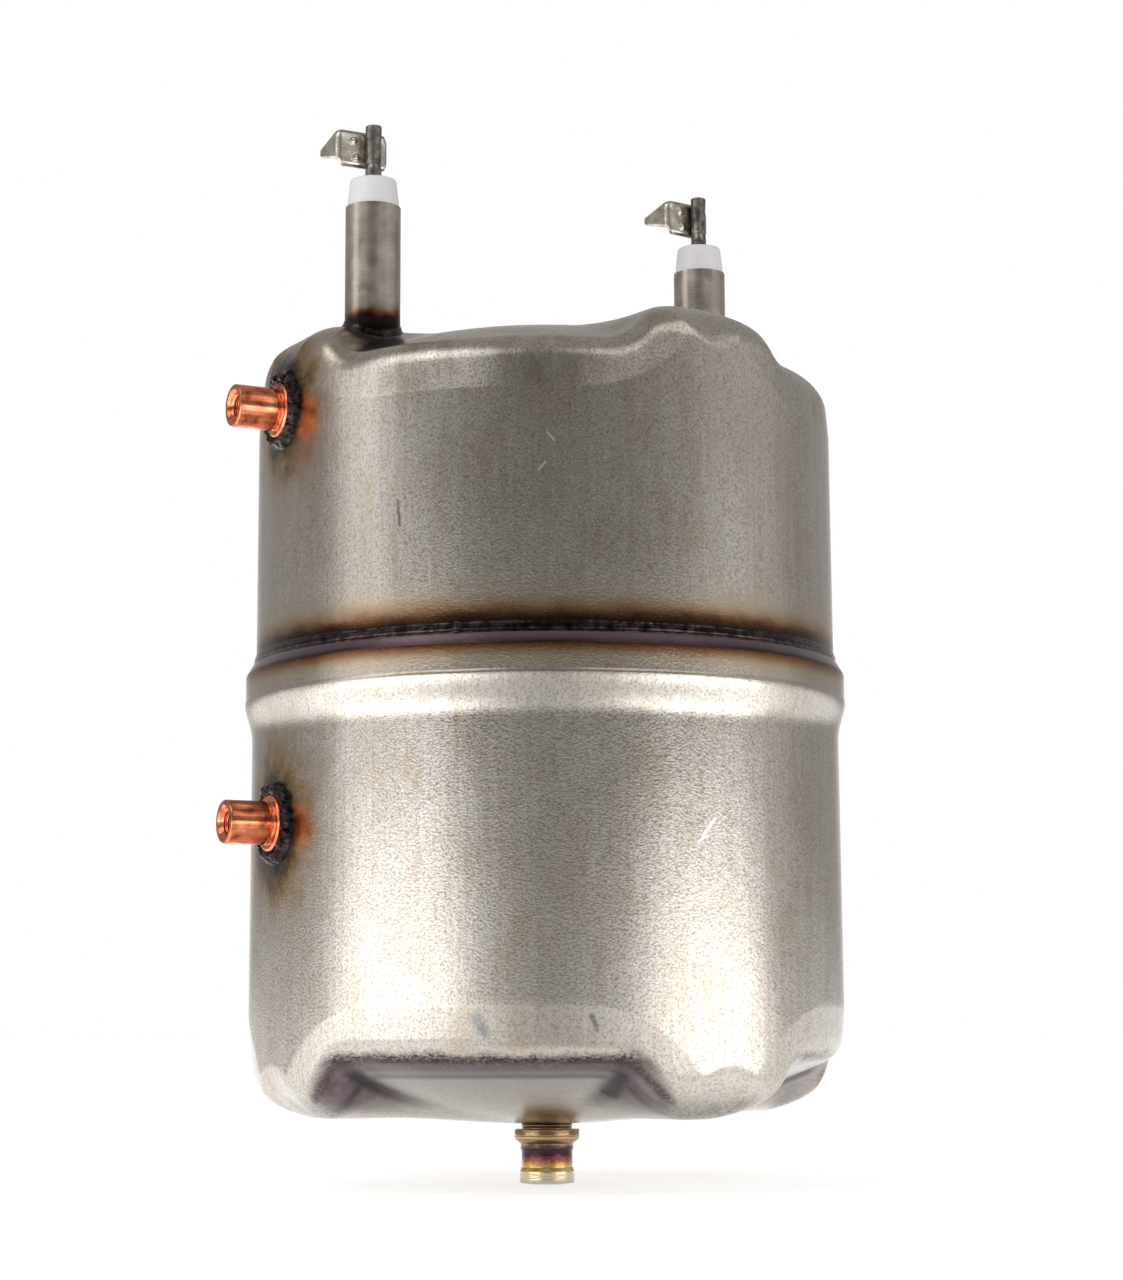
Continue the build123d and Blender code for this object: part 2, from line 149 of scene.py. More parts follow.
def rounded(points, radius, steps=5):
    """An open outline of (radius, height) points with its inner corners turned into arcs.

    The rounding is one number, or a dictionary from a point's place in the list to its own.
    """
    points = [Vector(point) for point in points]
    path = [points[0]]
    for place in range(1, len(points) - 1):
        before, corner, after = points[place - 1 : place + 2]
        to_before, to_after = (before - corner), (after - corner)
        room = min(to_before.length, to_after.length) * 0.49
        wanted = radius.get(place, 0.0) if isinstance(radius, dict) else radius
        half = to_before.angle(to_after) / 2
        setback = min(wanted / math.tan(half), room) if wanted else 0.0
        if setback < 1e-4:
            path.append(corner)
            continue
        start = corner + to_before.normalized() * setback
        end = corner + to_after.normalized() * setback
        for step in range(steps + 1):
            t = step / steps
            path.append((1 - t) ** 2 * start + 2 * t * (1 - t) * corner + t * t * end)
    path.append(points[-1])
    return path


def denser(path, step):
    """The same outline with its long runs divided, so that a displacement has points to move."""
    fine = [path[0]]
    for start, end in zip(path, path[1:]):
        parts = max(1, math.ceil((end - start).length / step))
        fine += [start.lerp(end, part / parts) for part in range(1, parts + 1)]
    return fine


def lathe_rows(path, around, centre=(0.0, 0.0)):
    """Rings of points about a vertical axis for an outline of (radius, height) points."""
    turn = np.linspace(0, 2 * math.pi, around, endpoint=False)
    radii = np.array([point[0] for point in path])[:, None]
    heights = np.array([point[1] for point in path])[:, None] + 0 * turn
    return np.stack(
        [centre[0] + radii * np.cos(turn), centre[1] + radii * np.sin(turn), heights], axis=-1
    )


# Pressed shells


def blend_min(a, b, width):
    """The lower of two distances, eased together where they are within a width of each other."""
    share = np.clip(0.5 + 0.5 * (b - a) / width, 0, 1)
    return b * (1 - share) + a * share - width * share * (1 - share)


def round_max(a, b, radius):
    """The higher of two distances, with the edge between the two forms rounded."""
    outside = np.hypot(np.maximum(a + radius, 0), np.maximum(b + radius, 0))
    return np.minimum(np.maximum(a, b), -radius) + outside


def cup_distance(x, y, z, wall_radius, drop, line_turns):
    """Distance out of a pressed cup whose feet stand at height 0, negative inside it."""
    radius = np.hypot(x, y)
    dish = np.hypot(radius, z - (CROWN_RADIUS - drop)) - CROWN_RADIUS
    flanks = []
    for turn in np.radians(line_turns):
        # The distance from the foot's middle is eased there, so that its front has no crease.
        across = np.hypot(y * math.cos(turn) - x * math.sin(turn), FOOT_FRONT_EASE)
        slant = across - FOOT_FRONT_SHIFT - FOOT_HALF_WIDTH - FOOT_FLANK_RUN * z
        flanks.append(slant / math.hypot(1, FOOT_FLANK_RUN))
    flank = np.minimum(*flanks)
    foot = round_max(flank, -z, FOOT_SOLE_RADIUS)
    floor = blend_min(dish, foot, FOOT_ROOT_BLEND)
    on_foot = np.clip(0.5 + (dish - foot) / FOOT_ROOT_BLEND, 0, 1)
    on_sole = np.clip(0.6 - (z + flank) / FOOT_CORNER_FADE, 0, 1)
    margin = np.clip(1 + blend_min(dish, flank, BAND_CORNER) / BAND_WIDTH, 0, 1)
    lean = BAND_LEAN * margin
    corner = KNUCKLE_RADIUS + (
        (FOOT_CORNER_RADIUS - KNUCKLE_RADIUS) * eased(on_foot) * eased(on_sole)
    )
    return round_max(floor, radius - wall_radius + lean, corner)


def cup_rows(wall_radius, drop, line_turns, inset, hole_radius, count, around):
    """Rings of points on a cup's pressed end, from the hole in its middle out to the band.

    Each point is found along a ray from the middle of the band's level.
    """
    azimuth = np.linspace(0, 2 * math.pi, around, endpoint=False)[None, :]
    first = math.atan2(hole_radius, BAND_HEIGHT + drop - inset)
    share = np.linspace(0, 1, count)[:, None]
    tilt = first + (math.pi / 2 - first) * (1.5 * share - 0.5 * share**3)
    ways = (
        np.sin(tilt) * np.cos(azimuth),
        np.sin(tilt) * np.sin(azimuth),
        -np.cos(tilt) + 0 * azimuth,
    )
    near, far = np.zeros((count, around)), np.full((count, around), 2 * wall_radius)
    for _ in range(34):
        middle = (near + far) / 2
        x, y, z = ways[0] * middle, ways[1] * middle, BAND_HEIGHT + ways[2] * middle
        inside = cup_distance(x, y, z, wall_radius, drop, line_turns) < -inset
        near, far = np.where(inside, middle, near), np.where(inside, far, middle)
    return np.stack([ways[0] * near, ways[1] * near, BAND_HEIGHT + ways[2] * near], axis=-1)


def shell_rows(rim, inner_rim, drop, line_turns, hole_radius):
    """Rings round a pressed shell with its feet down at height 0: out, over its rim and back in."""
    outer = cup_rows(rim[0][0], drop, line_turns, 0, hole_radius, 190, SHELL_AROUND)
    inner = cup_rows(rim[0][0], drop, line_turns, WALL, hole_radius, 60, SHELL_AROUND)
    wall = lathe_rows(rim[1:], SHELL_AROUND)
    inner_wall = lathe_rows(inner_rim[:-1], SHELL_AROUND)
    return np.concatenate([outer, wall, inner_wall, inner[::-1]])


def lower_shell(material):
    """Feet down, with the socket that takes the upper shell at its mouth."""
    lip = LIP_Z - FEET_Z
    shoulder, end = lip - SHOULDER_HEIGHT, lip - JOGGLE_END
    rim = [Vector((LOWER_RADIUS, height)) for height in np.linspace(BAND_HEIGHT, end, 60)]
    widening = SOCKET_RADIUS + SHOULDER_SWELL - LOWER_RADIUS
    for step in range(1, 25):
        t = step / 24
        radius = LOWER_RADIUS + widening * eased(t) ** JOGGLE_POWER
        rim.append(Vector((radius, end + (shoulder - end) * t)))
    edge = [
        rim[-1],
        Vector((SOCKET_RADIUS, shoulder + 0.35)),
        Vector((SOCKET_RADIUS, lip - LIP_SLOPE)),
        Vector((SOCKET_RADIUS - 0.95, lip - 0.1)),
        Vector((SOCKET_RADIUS - WALL, lip - 0.05)),
        Vector((SOCKET_RADIUS - WALL, shoulder)),
        Vector((LOWER_RADIUS - WALL, end)),
    ]
    rim += denser(rounded(edge[:5], {1: 0.15, 2: 0.8, 3: 0.35}, 6), 0.7)[1:]
    inner = denser(edge[4:] + [Vector((LOWER_RADIUS - WALL, BAND_HEIGHT))], 4)[1:]
    rows = shell_rows(rim, inner, LOWER_DROP, FOOT_LINE_TURNS, INLET_HOLE)
    rows[..., 2] += FEET_Z
    grid_object("lower_shell_skin", rows, material, "lower_shell", True)


def upper_shell(material):
    """The same pressing turned over. Its rim is let into the lower shell's socket."""
    end = TOP_Z - UPPER_RIM_Z
    rim = [Vector((UPPER_RADIUS, height)) for height in np.linspace(BAND_HEIGHT, end - 0.3, 70)]
    rim += [Vector((UPPER_RADIUS - 0.3, end)), Vector((UPPER_RADIUS - WALL, end))]
    inner = [
        Vector((UPPER_RADIUS - WALL, height)) for height in np.linspace(end - 1, BAND_HEIGHT, 16)
    ]
    rows = shell_rows(rim, inner, UPPER_DROP, [-turn for turn in FOOT_LINE_TURNS], OUTLET_HOLE)
    rows[..., 1] *= -1
    rows[..., 2] = TOP_Z - rows[..., 2]
    grid_object("upper_shell_skin", rows, material, "upper_shell", True)


def surface_height(x, y):
    """Height of the upper shell's pressed end over points beside the tank's axis."""
    low, high = np.full(np.shape(x), -UPPER_DROP - 1), np.full(np.shape(x), BAND_HEIGHT)
    turned = [-turn for turn in FOOT_LINE_TURNS]
    for _ in range(30):
        middle = (low + high) / 2
        outside = cup_distance(x, -y, middle, UPPER_RADIUS, UPPER_DROP, turned) > 0
        low, high = np.where(outside, middle, low), np.where(outside, high, middle)
    return TOP_Z - low


# Welds


def girth_weld(material):
    """The hollow bead on the socket's lip, rippled along the seam, with a lump where it closes."""
    around = 1800
    path = [
        (SOCKET_RADIUS - 1.6, LIP_Z - 0.9),
        (SOCKET_RADIUS - 1.1, LIP_Z - 0.25),
        (UPPER_RADIUS + 0.52, LIP_Z + 0.02),
        (UPPER_RADIUS + 0.3, LIP_Z + 0.24),
        (UPPER_RADIUS + 0.36, LIP_Z + 0.5),
        (UPPER_RADIUS + 0.3, LIP_Z + 1.0),
        (UPPER_RADIUS + 0.13, LIP_Z + 1.16),
        (UPPER_RADIUS + 0.17, BEAD_TOP_Z - 0.3),
        (UPPER_RADIUS + 0.04, BEAD_TOP_Z - 0.1),
        (UPPER_RADIUS - 0.5, BEAD_TOP_Z),
    ]
    path = rounded(path, 0.09, 3)
    rows = lathe_rows(path, around)
    turn = np.linspace(0, 2 * math.pi, around, endpoint=False)
    lump_turn, lump_width = math.radians(216.4), 0.011
    close = np.exp(-(((turn - lump_turn) / lump_width) ** 2))
    for row in rows[4:-4]:
        for place, point in enumerate(row):
            grown = 0.02 * bumpy(*point, 1.1, 3.0) + 0.03 * bumpy(*point, 5.0, 8.0)
            ripple = 0.004 * math.sin(turn[place] * UPPER_RADIUS / 0.8 * 2 * math.pi)
            grown += ripple + 0.35 * close[place]
            point[:2] *= 1 + grown / UPPER_RADIUS
            point[2] += 0.4 * grown
    grid_object("girth_bead", rows, material, "girth_weld", True)


def stud_point(distance, sideways, upward, height):
    """Points in a stud's own directions: out of the tank, along its wall and up."""
    c, s = math.cos(STUD_AZIMUTH), math.sin(STUD_AZIMUTH)
    return np.stack(
        [distance * c - sideways * s, distance * s + sideways * c, height + upward], axis=-1
    )


def stud_bead(side, material):
    """The lumpy bead round a stud's flange. It is thrown on in overlapping drops."""
    radius, height = WALL_RADII[side], STUD_HEIGHTS[side]
    seed = 11.0 if side == "upper" else 37.0
    around, steps = 300, 30
    turn = np.linspace(0, 2 * math.pi, around, endpoint=False)
    rows = np.zeros((steps, around, 3))
    for step in range(steps):
        share = step / (steps - 1)
        for place, angle in enumerate(turn):
            c, s = math.cos(angle), math.sin(angle)
            drops = abs(math.sin(angle * 6.5 + 1.4 * bumpy(c * 3, s * 3, 0, 2.0, seed)))
            ragged = bumpy(c * 6, s * 6, share * 3, 1.5, seed + 5)
            width = 2.15 + 0.35 * drops + 0.45 * ragged
            out = 3.9 + width * share
            swell = math.sin(math.pi * min(1.0, share * 0.93 + 0.07)) ** 0.75
            lump = bumpy(c * out, s * out, 0, 1.15, seed + 9)
            lump += 0.5 * bumpy(c * out, s * out, 0, 0.5, seed)
            rise = (1.0 + 0.3 * drops) * swell + 0.42 * lump * swell - 0.35 * (1 - swell)
            sideways, upward = out * c, out * s
            surface = math.sqrt(radius**2 - sideways**2)
            rows[step, place] = stud_point(surface + rise, sideways, upward, height)
    grid_object(side + "_stud_bead", rows, material, side + "_stud_weld")


def leg_bead(side, leg, material):
    """The dark ring where a leg of the element is brazed into the crown."""
    around = 160
    turn = np.linspace(0, 2 * math.pi, around, endpoint=False)
    ring_x, ring_y = np.cos(turn), np.sin(turn)
    rows = []
    profile = (
        (-0.1, 1.1), (0.06, 0.95), (0.12, 0.8), (0.2, 0.55), (0.32, 0.28), (0.46, 0.1),
        (0.6, -0.3),
    )
    for out, rise in profile:
        reach = SHEATH_RADIUS + out
        x, y = leg + reach * ring_x, reach * ring_y
        lumps = np.array([bumpy(a, b, rise, 1.6, leg) for a, b in zip(x, y)])
        z = surface_height(x, y) + rise + 0.15 * lumps * (rise > 0)
        rows.append(np.stack([x, y, z], axis=-1))
    grid_object(side + "_leg_bead", rows[::-1], material, side + "_entry_weld")


def plain_bead(name, path, material, node, seed):
    """A bead turned about the tank's axis, a little uneven."""
    rows = lathe_rows(denser(rounded(path, 0.4), 0.3), 200)
    for row in rows:
        for point in row:
            point[2] += 0.08 * bumpy(*point, 1.5, seed)
    grid_object(name, rows, material, node, True)


# Turned fittings


def cut_thread(rows, heights, low, high, depth, pitch):
    """Cuts a thread into the rings between two heights, by moving their points outwards."""
    angles = np.linspace(0, 2 * math.pi, rows.shape[1], endpoint=False)
    for row, height in zip(rows, heights):
        if not low < height < high:
            continue
        fade = min(1.0, (height - low) / pitch, (high - height) / pitch)
        phase = (height / pitch - angles / (2 * math.pi)) % 1
        groove = np.clip(1.25 - 2.5 * np.abs(phase - 0.5), 0, 1) * depth * fade
        row[:, :2] *= 1 + (groove / np.linalg.norm(row[:, :2], axis=1))[:, None]


def sensor_stud(side, material):
    """A flanged weld stud with a threaded hole, its end at STUD_LENGTH from the wall."""
    base, height = WALL_RADII[side], STUD_HEIGHTS[side]
    end = base + STUD_LENGTH
    path = [
        (0.01, base - 0.9), (4.25, base - 0.9), (4.25, base + 0.95), (3.9, base + 1.15),
        (3.2, base + 1.15), (3.1, base + 1.5), (3.25, base + 1.9), (3.25, end), (2.45, end),
        (1.65, end - 0.75), (1.65, end - 6.2), (0.01, end - 6.8),
    ]
    path = rounded(path, {2: 0.25, 3: 0.2, 5: 0.2, 6: 0.2, 7: 0.35, 8: 0.2}, 5)
    path = denser(path, 0.075)
    rows = lathe_rows(path, 96)
    heights = [point[1] if point[0] < 2.2 else -1 for point in path]
    cut_thread(rows, heights, end - 6.1, end - 0.35, 0.36, 0.7)
    placed = stud_point(rows[..., 2], rows[..., 0], rows[..., 1], height)
    grid_object(side + "_stud", placed[:, ::-1], material, side + "_sensor_stud")


def inlet_port(material):
    """The stepped spigot under the floor, with its collar, throat, waist and end lip."""
    collar = FEET_Z - LOWER_DROP - 0.93
    path = [
        (2.75, 12.9), (3.75, 12.9), (3.75, collar + 0.9), (3.95, collar + 0.6), (3.75, collar),
        (4.9, collar), (5.0, collar - 0.9), (4.92, collar - 1.0), (5.0, collar - 1.1),
        (4.98, collar - 1.45), (4.15, collar - 2.1), (4.05, collar - 2.15), (4.05, collar - 3.0),
        (3.9, collar - 3.15), (3.9, 2.35), (4.1, 1.9), (4.15, 1.8), (4.15, 0.15), (4.0, 0.0),
        (2.9, 0.0), (2.75, 0.15),
    ]
    path = rounded(path, 0.12, 4)
    rows = lathe_rows(denser(path + [path[0]], 0.5)[:-1], 160)
    grid_object("inlet_port", rows[::-1], material, "inlet_fitting", True)


def outlet_port(material):
    """The threaded socket in the crown, with a faced rim."""
    high = top_of("outlet_socket")
    low = bottom_of("outlet_socket")
    bore, rim = 4.46, OUTLET_RADIUS
    path = [
        (bore, low), (rim, low), (rim, high - 0.4), (rim - 0.4, high), (5.3, high),
        (bore, high - 0.85), (bore, low),
    ]
    path = rounded(path, {1: 0.3, 2: 0.15, 3: 0.15, 4: 0.15})
    path = denser(path, 0.11)[:-1]
    rows = lathe_rows(path, 160)
    heights = [point[1] if point[0] < 4.6 else -1 for point in path]
    cut_thread(rows, heights, low + 0.1, high - 0.5, 0.54, 1.0)
    grid_object("outlet_port", rows, material, "outlet_socket", True)


# Terminals


def beside_leg(rows, leg, turn):
    """Points about a leg's own axis, turned about it and moved to the leg's place."""
    x, y = rows[..., 0].copy(), rows[..., 1].copy()
    rows[..., 0] = leg + x * math.cos(turn) - y * math.sin(turn)
    rows[..., 1] = x * math.sin(turn) + y * math.cos(turn)
    return rows


def ceramic_bush(side, leg, material):
    path = [
        (PIN_RADIUS + 0.12, SHEATH_TOP_Z - 6), (3.6, SHEATH_TOP_Z - 6), (3.6, SHEATH_TOP_Z - 0.12),
        (3.98, SHEATH_TOP_Z + 0.02), (4.0, SHEATH_TOP_Z + 0.3), (3.55, BUSH_TOP_Z - 0.1),
        (2.9, BUSH_TOP_Z), (PIN_RADIUS + 0.35, BUSH_TOP_Z - 0.02),
        (PIN_RADIUS + 0.12, BUSH_TOP_Z - 0.3),
    ]
    path = rounded(path, {3: 0.1, 5: 0.75, 6: 0.5, 7: 0.15}, 6)
    rows = lathe_rows(denser(path + [path[0]], 0.5)[:-1], 120, (leg, 0))
    grid_object(side + "_bush", rows, material, side + "_ceramic_bush", True)


def terminal_pin(side, leg, turn, material):
    """The pin, squeezed and scorched where the tab is welded behind it."""
    low = bottom_of(side + "_terminal_pin")
    squeeze_z = BUSH_TOP_Z + 5.05
    path = [(0.01, low), (PIN_RADIUS, low), (PIN_RADIUS, PIN_TOP_Z), (0.01, PIN_TOP_Z)]
    path = denser(rounded(path, {2: 0.3}), 0.16)
    rows = lathe_rows(path, 64)
    for row in rows:
        for point in row:
            height = point[2] - squeeze_z
            squeeze = math.exp(-((height / 2.1) ** 4))
            front = max(0.0, -point[1] / PIN_RADIUS)
            neck = math.exp(-(((height + 2.6) / 0.45) ** 2))
            point[0] *= 1 - 0.05 * squeeze - 0.12 * neck
            point[1] += 0.16 * squeeze * front + 0.12 * neck * front
            point[:2] *= 1 + 0.02 * bumpy(*point, 0.8, leg)
    rows = beside_leg(rows, leg, turn)
    grid_object(side + "_pin", rows, material, side + "_terminal_pin")


TAB_TURNS = {"left": math.radians(-8.0), "right": math.radians(-0.5)}
TAB_THICKNESS = 0.8
TAB_BUSH_GAP = 2.2
TAB_HEIGHT = 5.7
TAB_REACH = 5.6
TAB_TAIL = 2.9
TAB_CORNER = 0.8  # radius of the plate's two corners at its tail
TAB_BEND = 0.62
BLADE_LENGTH = 5.6
BLADE_ROOT = 4.3
BLADE_NOSE = 1.2
BLADE_DROP = 0.2  # from the plate's top edge to the blade's
TAB_FRONT = PIN_RADIUS + 0.02


def tab_terminal(side, leg, material):
    """A pressed strip: a plate behind the pin and a blade bent back from its end.

    The strip is followed from the plate's tail round the bend to the blade's nose.
    """
    low = BUSH_TOP_Z + TAB_BUSH_GAP
    top = low + TAB_HEIGHT - BLADE_DROP
    middle = TAB_FRONT + TAB_THICKNESS / 2
    corner_x = -TAB_REACH + TAB_THICKNESS / 2
    strip = []  # the strip's middle, its normal and its lower and upper edge
    for x in np.linspace(TAB_TAIL, corner_x + TAB_BEND, 22):
        edge = max(0.0, TAB_CORNER - (TAB_TAIL - x))
        cut = TAB_CORNER - math.sqrt(max(0.0, TAB_CORNER**2 - edge**2))
        strip.append(((x, middle), (0, 1), (low + cut, low + TAB_HEIGHT - cut)))
    for step in range(1, 9):
        angle = math.pi / 2 * step / 8
        c, s = math.cos(angle), math.sin(angle)
        share = eased(step / 8)
        edges = (low + (top - low - BLADE_ROOT) * share, low + TAB_HEIGHT - BLADE_DROP * share)
        strip.append(((corner_x + TAB_BEND * (1 - s), middle + TAB_BEND * (1 - c)), (s, c), edges))
    start = middle + TAB_BEND
    tip = TAB_FRONT + TAB_THICKNESS + BLADE_LENGTH
    for y in np.linspace(start, tip, 20)[1:]:
        share = (y - start) / (tip - start)
        half = BLADE_ROOT / 2 + (BLADE_NOSE / 2 - BLADE_ROOT / 2) * share
        near_tip = max(0.0, 0.5 - (tip - y)) / 0.5
        half -= 0.35 * (1 - math.sqrt(max(0.0, 1 - near_tip**2)))
        centre = top - BLADE_ROOT / 2
        strip.append(((corner_x, y), (1, 0), (centre - half, centre + half)))
    edge_round = 0.16
    around = [(1, step) for step in np.linspace(0, 1, 9)]
    around += [(-1, step) for step in np.linspace(1, 0, 9)]
    rows = []
    for place, ((x, y), (nx, ny), (bottom, high)) in enumerate(strip):
        thin = TAB_THICKNESS / 2 - (0.12 if place in (0, len(strip) - 1) else 0.0)
        ring = []
        for sign, step in around:
            inset = edge_round * (abs(2 * step - 1) > 0.99)
            share = min(max(step, 0.045), 0.955) if not inset else step
            out = sign * (thin - inset)
            ring.append((x + nx * out, y + ny * out, bottom + (high - bottom) * share))
        rows.append(ring)
    rows = np.array(rows)
    first, last = rows[0].mean(0), rows[-1].mean(0)
    closed = [first + (rows[:1] - first) * 0.01, rows, last + (rows[-1:] - last) * 0.01]
    rows = beside_leg(np.concatenate(closed), leg, TAB_TURNS[side])
    grid_object(side + "_tab", rows, material, side + "_tab_terminal")


def tab_nuggets(side, leg, material):
    """Two raised weld spots with a ring pressed round each, beside the pin."""
    middle = BUSH_TOP_Z + TAB_BUSH_GAP + TAB_HEIGHT / 2
    angles = np.linspace(0, 2 * math.pi, 40, endpoint=False)
    profile = ((0.86, -0.05), (0.84, 0.02), (0.74, 0.1), (0.62, 0.06), (0.5, 0.16), (0.34, 0.27),
               (0.16, 0.31), (0.005, 0.31))
    for end, sign, offset in (("lower", -1, -2.45), ("upper", 1, -2.95)):
        rows = []
        for reach, rise in profile:
            x, z = offset + reach * np.cos(angles), middle + sign * 1.3 + reach * np.sin(angles)
            rows.append(np.stack([x, np.full(len(angles), TAB_FRONT - rise), z], axis=-1))
        rows = beside_leg(np.array(rows), leg, TAB_TURNS[side])
        grid_object(side + "_nugget_" + end, rows, material, side + "_tab_welds")


# Materials


class Nodes:
    """Short calls that build a node tree. A value is a number or another node's output."""

    def __init__(self, tree):
        self.tree = tree

    def source(self, kind, output):
        return self.tree.nodes.new(kind).outputs[output]

    def feed(self, socket, value):
        if isinstance(value, bpy.types.NodeSocket):
            self.tree.links.new(value, socket)
        elif value is not None:
            socket.default_value = value

    def math(self, operation, a, b=None, c=None, clamp=False):
        node = self.tree.nodes.new("ShaderNodeMath")
        node.operation, node.use_clamp = operation, clamp
        for socket, value in zip(node.inputs, (a, b, c)):
            self.feed(socket, value)
        return node.outputs[0]

    def times(self, first, *others):
        for other in others:
            first = self.math("MULTIPLY", first, other)
        return first

    def plus(self, a, b):
        return self.math("ADD", a, b)

    def minus(self, a, b):
        return self.math("SUBTRACT", a, b)

    def higher(self, a, b):
        return self.math("MAXIMUM", a, b)

    def absolute(self, a):
        return self.math("ABSOLUTE", a)

    def swing(self, value, width):
        """A value about 0.5 turned into one about 0, over the width."""
        return self.times(self.minus(value, 0.5), width)

    def vector(self, operation, a, b=None):
        node = self.tree.nodes.new("ShaderNodeVectorMath")
        node.operation = operation
        self.feed(node.inputs[0], a)
        self.feed(node.inputs["Scale"] if operation == "SCALE" else node.inputs[1], b)
        gives_number = operation in ("LENGTH", "DOT_PRODUCT", "DISTANCE")
        return node.outputs["Value" if gives_number else "Vector"]

    def parts(self, vector):
        node = self.tree.nodes.new("ShaderNodeSeparateXYZ")
        self.feed(node.inputs[0], vector)
        return node.outputs

    def join(self, x, y, z):
        node = self.tree.nodes.new("ShaderNodeCombineXYZ")
        for socket, value in zip(node.inputs, (x, y, z)):
            self.feed(socket, value)
        return node.outputs[0]

    def span(self, value, low, high, to_low=0.0, to_high=1.0):
        """A value's run from low to high, mapped to another run and held at its ends."""
        node = self.tree.nodes.new("ShaderNodeMapRange")
        for socket, number in zip(node.inputs, (value, low, high, to_low, to_high)):
            self.feed(socket, number)
        return node.outputs[0]

    def mix(self, share, a, b):
        """A colour between two. Of a Mix node's sockets, these are the ones for colours."""
        node = self.tree.nodes.new("ShaderNodeMix")
        node.data_type = "RGBA"
        for place, value in ((0, share), (6, a), (7, b)):
            self.feed(node.inputs[place], (*value, 1) if isinstance(value, tuple) else value)
        return node.outputs[2]


class Graph(Nodes):
    """A material's node tree, with the place on the object in millimetres."""

    def __init__(self, name):
        self.material = bpy.data.materials.new(name)
        self.material.use_nodes = True
        super().__init__(self.material.node_tree)
        self.shader = self.tree.nodes["Principled BSDF"]
        self.place = self.vector("SCALE", self.source("ShaderNodeTexCoord", "Object"), 1 / MM)

    def noise(self, size, detail=2.0, stretch=(1, 1, 1), seed=0.0, rough=0.5):
        """Noise about 0.5 whose lumps are size millimetres wide, stretched along the axes."""
        node = self.tree.nodes.new("ShaderNodeTexNoise")
        scaled = self.vector("MULTIPLY", self.place, tuple(1 / (size * way) for way in stretch))
        self.feed(node.inputs["Vector"], self.vector("ADD", scaled, (seed, seed, seed)))
        node.inputs["Scale"].default_value = 1.0
        node.inputs["Detail"].default_value = detail
        node.inputs["Roughness"].default_value = rough
        return node.outputs["Fac"]

    def ramp(self, value, stops):
        """Colours along a value: stops are (place, colour)."""
        node = self.tree.nodes.new("ShaderNodeValToRGB")
        while len(node.color_ramp.elements) < len(stops):
            node.color_ramp.elements.new(0.5)
        for element, (place, colour) in zip(node.color_ramp.elements, stops):
            element.position = place
            element.color = (*colour, 1)
        self.feed(node.inputs[0], value)
        return node.outputs[0]

    def bump(self, height, distance, below=None):
        node = self.tree.nodes.new("ShaderNodeBump")
        node.inputs["Distance"].default_value = distance * MM
        self.feed(node.inputs["Height"], height)
        self.feed(node.inputs["Normal"], below)
        return node.outputs[0]

    def finish(self, colour, roughness, normal=None, **constants):
        self.feed(self.shader.inputs["Base Color"], colour)
        self.feed(self.shader.inputs["Roughness"], roughness)
        self.feed(self.shader.inputs["Normal"], normal)
        for name, value in constants.items():
            self.shader.inputs[name.replace("_", " ").title()].default_value = value
        return self.material


def wall_point(radius, azimuth, height):
    """A point on a wall. Its azimuth in degrees counts to the right from the photograph's view."""
    turn = math.radians(azimuth - 90) + VIEW_TURN
    return radius * math.cos(turn), radius * math.sin(turn), height


def mark(g, start, end, width):
    """A share that is 1 along a short line on the wall and 0 beyond the width."""
    run = Vector(end) - Vector(start)
    along = g.vector("DOT_PRODUCT", g.vector("SUBTRACT", g.place, start), run.normalized()[:])
    along = g.math("DIVIDE", along, run.length, clamp=True)
    nearest = g.vector("ADD", g.vector("SCALE", run[:], along), start)
    return g.span(g.vector("DISTANCE", g.place, nearest), 0.3 * width, width, 1.0, 0.0)


def recess_share(g, foot_level, turned_over):
    """Where a point of a pressed end lies among its feet.

    Gives its share of the recesses between them, from 0 to 1, its height inwards from their soles,
    and its way past the nearest foot's flank.
    """
    z = g.parts(g.place)[2]
    height = g.minus(foot_level, z) if turned_over else g.minus(z, foot_level)
    across = []
    for turn in FOOT_LINE_TURNS:
        sideways = (-math.sin(math.radians(turn)), math.cos(math.radians(turn)), 0)
        across.append(g.absolute(g.vector("DOT_PRODUCT", g.place, sideways)))
    half_width = g.math("MULTIPLY_ADD", height, FOOT_FLANK_RUN, FOOT_HALF_WIDTH)
    flank = g.minus(g.math("MINIMUM", *across), half_width)
    return g.span(flank, -2.6, 0.0), height, flank


FRONT_RECESS = (-math.sqrt(0.5), -math.sqrt(0.5), 0.0)  # direction of most soot and painted shade
FLANK_SHARE = 0.76  # turns the way past a flank into a distance from it
# A painted shadow spot by a foot's root, and the radius of the painted shade round the dish's rim.
HOLE_SHADOW_PLACE = (-12.8, -31.5, FEET_Z + 4.4)
RIM_RADIUS = 38.6


